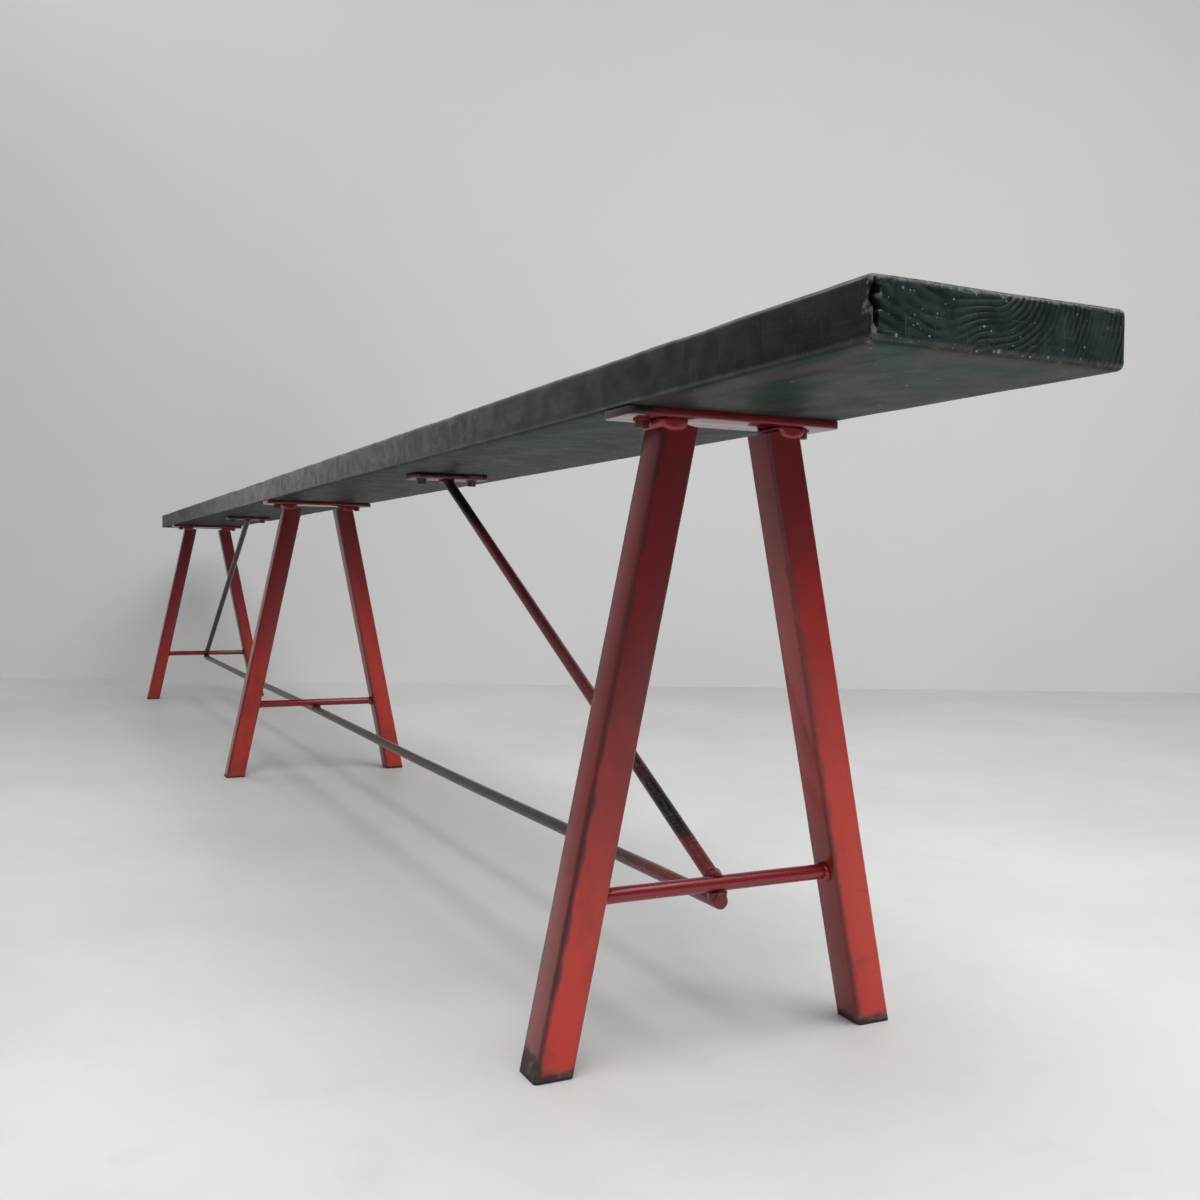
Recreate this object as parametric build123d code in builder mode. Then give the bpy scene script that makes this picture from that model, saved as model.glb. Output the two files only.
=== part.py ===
from build123d import *
import math
import os

# A long plank bench. One solid painted plank lies on three welded trestles of square tube. Each trestle
# has a flat top plate screwed up into the plank, two splayed legs, and a round crossbar. A round
# stretcher runs under all three crossbars, and a round brace rises from each end trestle's crossbar to
# a small plate under the plank. Nothing moves.
#
# Millimetres. The origin is on the floor under the middle of the bench, +X runs along the plank to its
# near end, +Y is to the right as seen when facing -X, and +Z is up.

# Plank
plank_width = 152.0
plank_thickness = 30.0
seat_height = 425.0
end_overhang = 240.0
plank_arris = 4.0
plank_end_arris = 1.5

# Trestles
trestle_spacing = 1130.0
tube_width = 25.0
tube_wall = 2.0
tube_corner = 2.5
foot_offset = 116.0
top_offset = 36.0
crossbar_height = 102.0
bar_diameter = 10.0

# Flat bar, used for the top plates and the brace plates
plate_depth = 40.0
plate_thickness = 5.0
plate_corner = 5.0
plate_inset = 1.0
brace_plate_length = 77.0

# Braces and stretcher
brace_reach = 540.0
stretcher_overrun = 6.0
bar_end_chamfer = 1.0

# Foot plugs
plug_flange = 2.0
plug_depth = 15.0
plug_clearance = 0.2

# Hexagon-headed wood screws
screw_diameter = 5.0
screw_grip = 22.0
hex_across_flats = 8.0
hex_height = 4.5
hex_chamfer = 0.6
washer_diameter = 11.0
washer_thickness = 1.2
brace_screw_offset = 27.0

# Clearances and welds
plate_hole_clearance = 0.25
pilot_clearance = 0.05
pilot_extra_depth = 1.0
screw_to_weld_gap = 0.5
weld_bead = 3.0
weld_gap = 0.5

# Levels
plank_underside = seat_height - plank_thickness
plate_underside = plank_underside - plate_thickness
stretcher_height = crossbar_height - bar_diameter - weld_gap
stretcher_weld_top = crossbar_height - bar_diameter / 2 + weld_gap

# Plank and plate lengths
plank_length = 2 * (trestle_spacing + end_overhang)
plate_length = plank_width - 2 * plate_inset

# Leg slope: the axis goes from foot_offset on the floor to top_offset at the top plate's underside.
leg_angle = math.atan2(foot_offset - top_offset, plate_underside)
leg_sin = math.sin(leg_angle)
leg_cos = math.cos(leg_angle)
# The tube's end is cut square, so only its outer edge reaches the plate.
leg_top_level = plate_underside - tube_width / 2 * leg_sin
leg_length = leg_top_level / leg_cos
tube_bore = tube_width - 2 * tube_wall
tube_bore_corner = max(tube_corner - tube_wall, 0.4)

# Where the leg's outer edge meets the plate, and the screw that clears the weld there
leg_axis_top = foot_offset - leg_length * leg_sin
leg_outer_top = leg_axis_top + tube_width / 2 * leg_cos
screw_offset = leg_outer_top + weld_bead + screw_to_weld_gap + washer_diameter / 2

# Where the crossbar's axis meets a leg's inner face
inner_face_offset = foot_offset - crossbar_height * math.tan(leg_angle) - tube_width / 2 / leg_cos

trestles = {"near": trestle_spacing, "middle": 0.0, "far": -trestle_spacing}
brace_ends = {"near": 1, "far": -1}
sides = {"left": -1, "right": 1}

# Braces: the axis goes from the crossbar's axis to the brace plate's underside.
brace_rise = plate_underside - crossbar_height
brace_length = math.hypot(brace_reach, brace_rise)
brace_angle = math.atan2(brace_rise, brace_reach)


def save(piece, name):
    """Labels a finished piece and writes its STEP."""
    piece.part.label = name
    export_step(piece.part, f"parts/{name}.step")


def brace_top_x(end):
    """Where a brace meets its plate, along the plank."""
    return end * (trestle_spacing - brace_reach)


def leg_plane(x, side):
    """A plane on the floor, across the leg, with its normal up along the leg's axis."""
    return Plane(origin=(x, side * foot_offset, 0), x_dir=(1, 0, 0), z_dir=(0, -side * leg_sin, leg_cos))


def brace_plane(end):
    """A plane at the crossbar's axis, across the brace, with its normal up along the brace."""
    direction = (-end * math.cos(brace_angle), 0, math.sin(brace_angle))
    return Plane(origin=(end * trestle_spacing, 0, crossbar_height), x_dir=(0, 1, 0), z_dir=direction)


def crossbar_plane(x):
    """A plane across the crossbar, at the middle of a trestle."""
    return Plane(origin=(x, 0, crossbar_height), x_dir=(1, 0, 0), z_dir=(0, 1, 0))


trestle_screws = {name: [(x, side * screw_offset) for side in sides.values()] for name, x in trestles.items()}
brace_screws = {
    name: [(brace_top_x(end), side * brace_screw_offset) for side in sides.values()]
    for name, end in brace_ends.items()
}

os.makedirs("parts", exist_ok=True)

# Plank: one board with eased edges and a blind pilot hole for each screw
with BuildPart() as plank:
    with BuildSketch(Plane.XY.offset(plank_underside)):
        Rectangle(plank_length, plank_width)
    extrude(amount=plank_thickness)
    fillet(plank.edges().filter_by(Axis.X), plank_arris)
    for end_face in (plank.faces().sort_by(Axis.X)[0], plank.faces().sort_by(Axis.X)[-1]):
        fillet(end_face.edges(), plank_end_arris)
    with BuildSketch(Plane.XY.offset(plank_underside)):
        for points in (*trestle_screws.values(), *brace_screws.values()):
            with Locations(*points):
                Circle(screw_diameter / 2 + pilot_clearance)
    extrude(amount=screw_grip + pilot_extra_depth, mode=Mode.SUBTRACT)
save(plank, "plank")


def make_plate(name, x, length, points):
    """A piece of flat bar across the plank, with rounded corners and clearance holes."""
    with BuildPart() as plate:
        with BuildSketch(Plane.XY.offset(plate_underside)):
            with Locations((x, 0)):
                RectangleRounded(plate_depth, length, plate_corner)
            with Locations(*points):
                Circle(screw_diameter / 2 + plate_hole_clearance, mode=Mode.SUBTRACT)
        extrude(amount=plate_thickness)
    save(plate, name)


def make_screws(name, points):
    """Hexagon-headed wood screws with pressed washers, heads down, driven up into the plank."""
    head_top = plate_underside - washer_thickness
    with BuildPart() as screws:
        with BuildSketch(Plane.XY.offset(head_top - hex_height)):
            with Locations(*points):
                RegularPolygon(hex_across_flats / 2, 6, major_radius=False)
        extrude(amount=hex_height)
        chamfer(screws.faces().filter_by(Axis.Z).group_by(Axis.Z)[0].edges(), hex_chamfer)
        with BuildSketch(Plane.XY.offset(head_top)):
            with Locations(*points):
                Circle(washer_diameter / 2)
        extrude(amount=washer_thickness)
        with BuildSketch(Plane.XY.offset(plate_underside)):
            with Locations(*points):
                Circle(screw_diameter / 2)
        extrude(amount=plate_thickness + screw_grip)
    save(screws, name)


def make_leg(name, x, side):
    """Square tube, cut level above the foot plug and square to its axis at the top."""
    with BuildPart() as leg:
        with BuildSketch(leg_plane(x, side).offset(-tube_width)):
            RectangleRounded(tube_width, tube_width, tube_corner)
            RectangleRounded(tube_bore, tube_bore, tube_bore_corner, mode=Mode.SUBTRACT)
        extrude(amount=tube_width + leg_length)
        split(bisect_by=Plane.XY.offset(plug_flange), keep=Keep.TOP)
    save(leg, name)


def make_foot_plug(name, x, side):
    """A flange as large as the leg's level section, and a plug that slides up inside the tube."""
    plug_width = tube_bore - 2 * plug_clearance
    with BuildPart() as foot_plug:
        with BuildSketch(Plane.XY):
            with Locations((x, side * foot_offset)):
                RectangleRounded(tube_width, tube_width / leg_cos, tube_corner)
        extrude(amount=plug_flange / leg_cos, dir=leg_plane(x, side).z_dir)
        with BuildSketch(leg_plane(x, side)):
            RectangleRounded(plug_width, plug_width, tube_bore_corner)
        extrude(amount=plug_depth)
        split(bisect_by=Plane.XY, keep=Keep.TOP)
    save(foot_plug, name)


def make_crossbar(name, x):
    """Round bar between the legs, its ends cut to lie flat on the legs' inner faces."""
    with BuildPart() as crossbar:
        with BuildSketch(crossbar_plane(x)):
            Circle(bar_diameter / 2)
        extrude(amount=foot_offset, both=True)
        for side in sides.values():
            face_point = (x, side * inner_face_offset, crossbar_height)
            inward = (0, -side * leg_cos, -leg_sin)
            split(bisect_by=Plane(origin=face_point, z_dir=inward), keep=Keep.TOP)
    save(crossbar, name)


def make_leg_welds(name, x):
    """Weld in the outer half of the wedge between each tube's end and the plate, and round its outside."""
    with BuildPart() as leg_welds:
        for side in sides.values():
            toe_level = leg_top_level - 1.3 * weld_bead
            outline = [
                (side * (leg_outer_top + weld_bead), plate_underside),
                (side * (leg_outer_top + weld_bead * leg_sin), toe_level + tube_width / 2 * leg_sin),
                (side * leg_axis_top, toe_level),
                (side * leg_axis_top, plate_underside),
            ]
            with BuildSketch(Plane.YZ.offset(x)):
                with BuildLine():
                    Polyline(*outline, close=True)
                make_face()
            extrude(amount=tube_width / 2 + weld_bead, both=True)
            with BuildSketch(leg_plane(x, side)):
                RectangleRounded(tube_width, tube_width, tube_corner)
            extrude(amount=leg_length, mode=Mode.SUBTRACT)
    save(leg_welds, name)


def make_crossbar_welds(name, x):
    """A tapered ring of weld round each end of the crossbar."""
    with BuildPart() as crossbar_welds:
        for side in sides.values():
            ring_start = side * (inner_face_offset - 1.5 * weld_bead)
            ring_end = side * (inner_face_offset + weld_bead)
            bar_top = crossbar_height + bar_diameter / 2
            ring = [(ring_start, bar_top), (ring_end, bar_top), (ring_end, bar_top + weld_bead)]
            with BuildSketch(Plane.YZ.offset(x)):
                with BuildLine():
                    Polyline(*ring, close=True)
                make_face()
            revolve(axis=Axis((x, 0, crossbar_height), (0, 1, 0)))
            with BuildSketch(leg_plane(x, side)):
                RectangleRounded(tube_width, tube_width, tube_corner)
            extrude(amount=leg_length, mode=Mode.SUBTRACT)
    save(crossbar_welds, name)


def make_brace(name, end):
    """Round bar from just above the crossbar up to the brace plate, cut square below and level above."""
    with BuildPart() as brace:
        with BuildSketch(brace_plane(end).offset(bar_diameter / 2 + weld_gap)):
            Circle(bar_diameter / 2)
        extrude(amount=brace_length + bar_diameter)
        split(bisect_by=Plane.XY.offset(plate_underside), keep=Keep.BOTTOM)
    save(brace, name)


def make_brace_welds(name, end):
    """A lump of weld between the crossbar and the brace's square end, and a low pad round its head."""
    radius = bar_diameter / 2
    with BuildPart() as brace_welds:
        with BuildSketch(brace_plane(end)):
            Circle(radius + weld_bead / 2)
        extrude(amount=radius + weld_gap + weld_bead)
        with BuildSketch(crossbar_plane(end * trestle_spacing)):
            Circle(radius)
        extrude(amount=bar_diameter, both=True, mode=Mode.SUBTRACT)
        split(bisect_by=Plane.XY.offset(stretcher_weld_top), keep=Keep.TOP)
        with BuildSketch(Plane.XY.offset(plate_underside)):
            with Locations((brace_top_x(end), 0)):
                Ellipse(radius / math.sin(brace_angle) + weld_bead, radius + weld_bead)
        extrude(amount=-weld_bead)
        with BuildSketch(brace_plane(end).offset(radius + weld_gap)):
            Circle(radius)
        extrude(amount=brace_length + bar_diameter, mode=Mode.SUBTRACT)
    save(brace_welds, name)


# Trestles
for trestle, x in trestles.items():
    make_plate(f"top_plate_{trestle}", x, plate_length, trestle_screws[trestle])
    make_screws(f"plate_screws_{trestle}", trestle_screws[trestle])
    for side_name, side in sides.items():
        make_leg(f"leg_{side_name}_{trestle}", x, side)
        make_foot_plug(f"foot_plug_{side_name}_{trestle}", x, side)
    make_leg_welds(f"leg_welds_{trestle}", x)
    make_crossbar(f"crossbar_{trestle}", x)
    make_crossbar_welds(f"crossbar_welds_{trestle}", x)

# Braces
for brace_name, end in brace_ends.items():
    make_plate(f"brace_plate_{brace_name}", brace_top_x(end), brace_plate_length, brace_screws[brace_name])
    make_screws(f"brace_screws_{brace_name}", brace_screws[brace_name])
    make_brace(f"brace_{brace_name}", end)
    make_brace_welds(f"brace_welds_{brace_name}", end)

# Stretcher: one round bar under all three crossbars, a little longer than they need
with BuildPart() as stretcher:
    with BuildSketch(Plane.YZ):
        with Locations((0, stretcher_height)):
            Circle(bar_diameter / 2)
    extrude(amount=trestle_spacing + stretcher_overrun, both=True)
    chamfer(stretcher.edges().filter_by(GeomType.CIRCLE), bar_end_chamfer)
save(stretcher, "stretcher")

# Stretcher welds: a lump between the stretcher and each crossbar
with BuildPart() as stretcher_welds:
    for x in trestles.values():
        with BuildSketch(Plane.XY.offset(stretcher_height)):
            with Locations((x, 0)):
                Circle(bar_diameter / 2 + weld_bead / 2)
        extrude(amount=stretcher_weld_top - stretcher_height)
        with BuildSketch(crossbar_plane(x)):
            Circle(bar_diameter / 2)
        extrude(amount=bar_diameter, both=True, mode=Mode.SUBTRACT)
    with BuildSketch(Plane.YZ):
        with Locations((0, stretcher_height)):
            Circle(bar_diameter / 2)
    extrude(amount=trestle_spacing + stretcher_overrun, both=True, mode=Mode.SUBTRACT)
save(stretcher_welds, "stretcher_welds")
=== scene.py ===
"""Looks for a worn plank bench on three red trestles: pieces, finishes, floor, light and camera."""

import math

import bmesh
import bpy
from mathutils import Matrix, Vector, noise


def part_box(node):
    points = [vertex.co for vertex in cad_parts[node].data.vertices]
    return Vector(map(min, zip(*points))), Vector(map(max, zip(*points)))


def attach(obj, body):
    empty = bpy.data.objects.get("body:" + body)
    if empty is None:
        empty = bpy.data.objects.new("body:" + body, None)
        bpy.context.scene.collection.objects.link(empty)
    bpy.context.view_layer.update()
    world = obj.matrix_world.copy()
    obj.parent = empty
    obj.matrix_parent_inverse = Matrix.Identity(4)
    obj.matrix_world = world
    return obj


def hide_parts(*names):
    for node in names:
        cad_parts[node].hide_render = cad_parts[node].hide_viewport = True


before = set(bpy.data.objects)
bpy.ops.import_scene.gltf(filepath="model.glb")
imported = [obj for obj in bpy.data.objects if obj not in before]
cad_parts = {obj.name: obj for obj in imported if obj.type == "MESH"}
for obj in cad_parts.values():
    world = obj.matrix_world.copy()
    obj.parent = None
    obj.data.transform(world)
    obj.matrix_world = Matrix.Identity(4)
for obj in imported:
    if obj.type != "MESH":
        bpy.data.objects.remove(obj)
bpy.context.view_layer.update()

TRESTLES = ("near", "middle", "far")
SIDES = ("left", "right")
MM = 0.001
HALF_TUBE = 12.5 * MM

# Growth rings on the plank's ends: the heart lies above the board, left of its middle, and the rings
# run flatter and spread out on its left.
HEART_ACROSS = -8 * MM
HEART_ABOVE_TOP = 9 * MM
RING_SPACING = 2.9 * MM
LEFT_RING_FLATTENING = 0.3
LEFT_RING_SPREAD = 0.3
LEFT_SPREAD_REACH = 30 * MM


# ---------------------------------------------------------------- small helpers

def new_object(bm, name, material):
    """Turns a bmesh into an object with one material."""
    mesh = bpy.data.meshes.new(name)
    bm.to_mesh(mesh)
    bm.free()
    mesh.materials.append(material)
    made = bpy.data.objects.new(name, mesh)
    bpy.context.scene.collection.objects.link(made)
    return made


def add_piece(bm, name, material, smooth_angle):
    """Makes a finished piece from a bmesh, in place, riding on the bench."""
    bmesh.ops.recalc_face_normals(bm, faces=bm.faces)
    piece = new_object(bm, name, material)
    piece.data.shade_smooth()
    piece.data.set_sharp_from_angle(angle=math.radians(smooth_angle))
    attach(piece, "root")
    return piece


def stand_for(node):
    """The piece is shown in place of the CAD node, which is hidden."""
    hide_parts(node)


def new_block(size, centre=(0, 0, 0)):
    """A plain block to start a shape from."""
    bm = bmesh.new()
    bmesh.ops.create_cube(bm, size=1.0)
    bmesh.ops.scale(bm, vec=size, verts=bm.verts)
    bmesh.ops.translate(bm, vec=centre, verts=bm.verts)
    return bm


def upright_edges(bm):
    """Edges that run straight up."""
    ends = ((e, e.verts[0].co - e.verts[1].co) for e in bm.edges)
    return [e for e, run in ends if abs(run.x) < 1e-6 and abs(run.y) < 1e-6]


def level_edges(bm):
    """Edges that lie level."""
    return [e for e in bm.edges if abs(e.verts[0].co.z - e.verts[1].co.z) < 1e-7]


def round_edges(bm, edges, offset, segments):
    """Rounds edges over, offset back from each."""
    bmesh.ops.bevel(bm, geom=edges, offset=offset, offset_type="OFFSET", segments=segments, profile=0.5,
                    affect="EDGES", material=-1, clamp_overlap=True)


def cut_off(bm, level, side, dist):
    """Takes away what lies above (side 1) or below (side -1) a level."""
    bmesh.ops.bisect_plane(bm, geom=bm.verts[:] + bm.edges[:] + bm.faces[:], dist=dist,
                           plane_co=(0, 0, level), plane_no=(0, 0, side), clear_outer=True)


def join(bm, other):
    """Adds another bmesh's shape to bm."""
    carrier = bpy.data.meshes.new("carrier")
    other.to_mesh(carrier)
    other.free()
    bm.from_mesh(carrier)
    bpy.data.meshes.remove(carrier)


def fade(value, low, high):
    """0 below low, 1 above high, smooth between."""
    t = min(1.0, max(0.0, (value - low) / (high - low)))
    return t * t * (3 - 2 * t)


def wander(point, scale, seed=0.0):
    """Smooth noise from -1 to 1 with features about 1/scale metres long."""
    return noise.noise(Vector(point) * scale + Vector((seed, seed * 1.7, -seed)))


# ---------------------------------------------------------------- shader building

class Shading:
    """Short calls that add nodes to one tree and link them. Each gives back the socket that it makes."""

    def __init__(self, tree):
        self.tree = tree

    def node(self, kind, inputs=None, **settings):
        made = self.tree.nodes.new(kind)
        for key, value in settings.items():
            setattr(made, key, value)
        for key, value in (inputs or {}).items():
            self.feed(made.inputs[key], value)
        return made

    def feed(self, socket, value):
        if isinstance(value, bpy.types.NodeSocket):
            self.tree.links.new(value, socket)
        elif value is not None:
            socket.default_value = value

    def math(self, operation, first, second=None):
        made = self.node("ShaderNodeMath", operation=operation)
        for socket, value in zip(made.inputs, (first, second)):
            self.feed(socket, value)
        return made.outputs[0]

    def plus(self, first, second):
        return self.math("ADD", first, second)

    def minus(self, first, second):
        return self.math("SUBTRACT", first, second)

    def times(self, first, second):
        return self.math("MULTIPLY", first, second)

    def larger(self, first, second):
        return self.math("MAXIMUM", first, second)

    def inverse(self, mask):
        return self.math("SUBTRACT", 1.0, mask)

    def remap(self, value, low, high, to_low=0.0, to_high=1.0):
        made = self.node("ShaderNodeMapRange", interpolation_type="SMOOTHSTEP")
        for key, given in zip(("Value", "From Min", "From Max", "To Min", "To Max"),
                              (value, low, high, to_low, to_high)):
            self.feed(made.inputs[key], given)
        return made.outputs["Result"]

    def noise(self, vector, scale, detail=3.0, roughness=0.55, distortion=0.0):
        made = self.node("ShaderNodeTexNoise", {
            "Vector": vector, "Scale": scale, "Detail": detail,
            "Roughness": roughness, "Distortion": distortion})
        return made.outputs["Fac"]

    def stretch(self, vector, scale, turn=(0, 0, 0)):
        return self.node("ShaderNodeMapping", {"Vector": vector, "Scale": scale, "Rotation": turn}).outputs[0]

    def mix(self, factor, first, second):
        made = self.node("ShaderNodeMix", data_type="RGBA")
        self.feed(made.inputs["Factor"], factor)
        self.feed(made.inputs[6], first)
        self.feed(made.inputs[7], second)
        return made.outputs[2]

    def object_point(self):
        return self.node("ShaderNodeTexCoord").outputs["Object"]

    def split(self, vector):
        return self.node("ShaderNodeSeparateXYZ", {"Vector": vector}).outputs

    def attribute(self, name):
        return self.node("ShaderNodeAttribute", attribute_name=name).outputs["Fac"]

    def bump(self, height, strength, distance):
        made = self.node("ShaderNodeBump", {"Height": height, "Strength": strength, "Distance": distance})
        return made.outputs["Normal"]


def new_group(name, numbers, outputs=("Mask",)):
    """A shader node group with a vector input, named number inputs and number outputs."""
    tree = bpy.data.node_groups.new(name, "ShaderNodeTree")
    tree.interface.new_socket("Vector", in_out="INPUT", socket_type="NodeSocketVector")
    for key, value in numbers.items():
        tree.interface.new_socket(key, in_out="INPUT", socket_type="NodeSocketFloat").default_value = value
    for key in outputs:
        tree.interface.new_socket(key, in_out="OUTPUT", socket_type="NodeSocketFloat")
    s = Shading(tree)
    return s, s.node("NodeGroupInput").outputs, s.node("NodeGroupOutput").inputs


def make_corner_wear():
    """How close a point of a square tube is to one of its corners, with a wandering width."""
    s, given, out = new_group("tube corner wear",
                              {"Half": HALF_TUBE, "Width": 2 * MM, "Wander": 2 * MM, "Softness": 0.5 * MM})
    gap = s.larger(*(s.minus(given["Half"], s.math("ABSOLUTE", s.attribute(name)))
                     for name in ("tube_across", "tube_deep")))
    wobble = s.minus(s.noise(s.stretch(given["Vector"], (1, 1, 0.7)), 75.0, 3.0, 0.6), 0.45)
    width = s.plus(given["Width"], s.times(wobble, s.times(given["Wander"], 4.0)))
    s.feed(out["Mask"], s.remap(s.minus(width, gap), s.times(given["Softness"], -1.0), given["Softness"]))
    return s.tree


def make_scratches():
    """Thin straight scratches in two directions."""
    s, given, out = new_group("scratches", {"Scale": 1.0, "Amount": 0.5})
    lines = None
    for turn, scale in (((0.3, 0.2, 0.5), (900, 900, 30)), ((1.2, 0.7, 2.1), (700, 40, 700))):
        placed = s.stretch(given["Vector"], scale, turn)
        marks = s.noise(placed, given["Scale"], 2.0, 0.5)
        band = s.minus(0.72, s.times(given["Amount"], 0.12))
        line = s.remap(s.minus(marks, band), 0.0, 0.03)
        lines = line if lines is None else s.larger(lines, line)
    s.feed(out["Mask"], lines)
    return s.tree


def make_specks():
    """Small round spots of paint or dust, of uneven size."""
    s, given, out = new_group("specks", {"Scale": 120.0, "Amount": 0.1, "Size": 0.3})
    cells = s.node("ShaderNodeTexVoronoi", {"Vector": given["Vector"], "Scale": given["Scale"]})
    tints = s.split(cells.outputs["Color"])
    chosen = s.math("GREATER_THAN", tints["X"], s.inverse(given["Amount"]))
    size = s.times(s.times(tints["Y"], chosen), given["Size"])
    s.feed(out["Mask"], s.remap(s.minus(size, cells.outputs["Distance"]), 0.0, 0.08))
    return s.tree


def make_grain():
    """Long streaks of timber along X, and the growth rings across it."""
    s, given, out = new_group("timber grain", {"Top": 0.425}, ("Streaks", "Rings"))
    y, z = (s.split(given["Vector"])[axis] for axis in "YZ")
    across = s.minus(y, HEART_ACROSS)
    on_left = s.math("LESS_THAN", across, 0.0)
    spread = s.times(s.remap(across, 0.0, -LEFT_SPREAD_REACH), LEFT_RING_SPREAD)
    below = s.minus(z, s.plus(given["Top"], HEART_ABOVE_TOP))
    below = s.times(below, s.inverse(spread))
    narrowing = s.inverse(s.times(on_left, 1.0 - LEFT_RING_FLATTENING))
    across = s.times(across, narrowing)
    radius = s.math("SQRT", s.plus(s.math("POWER", across, 2.0), s.math("POWER", below, 2.0)))
    turns = s.times(s.plus(radius, s.attribute("ring_shift")), 2 * math.pi / RING_SPACING)
    s.feed(out["Streaks"], s.noise(s.stretch(given["Vector"], (2.2, 55, 70)), 1.0, 5.0, 0.6, 0.4))
    s.feed(out["Rings"], s.remap(s.math("SINE", turns), 1.0, -1.0))
    return s.tree


CORNER_WEAR = make_corner_wear()
SCRATCHES = make_scratches()
SPECKS = make_specks()
GRAIN = make_grain()


def group(s, tree, vector, output=0, **numbers):
    """Places a node group in a material and returns one of its outputs."""
    made = s.node("ShaderNodeGroup", node_tree=tree)
    s.feed(made.inputs["Vector"], vector)
    for key, value in numbers.items():
        s.feed(made.inputs[key], value)
    return made.outputs[output]


def new_material(name, roughness=0.5, **constants):
    """An empty material: its shader building calls, its shader and its point on the object."""
    material = bpy.data.materials.new(name)
    material.use_nodes = True
    tree = material.node_tree
    shader = tree.nodes["Principled BSDF"]
    shader.inputs["Roughness"].default_value = roughness
    for key, value in constants.items():
        shader.inputs[key.replace("_", " ")].default_value = value
    s = Shading(tree)
    return material, s, shader.inputs, s.object_point()


def shade(value):
    """A colour from three 0 to 255 display values."""
    def one(v):
        v = v / 255
        return v / 12.92 if v <= 0.04045 else ((v + 0.055) / 1.055) ** 2.4
    return (*[one(v) for v in value], 1.0)


# ---------------------------------------------------------------- finishes

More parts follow.
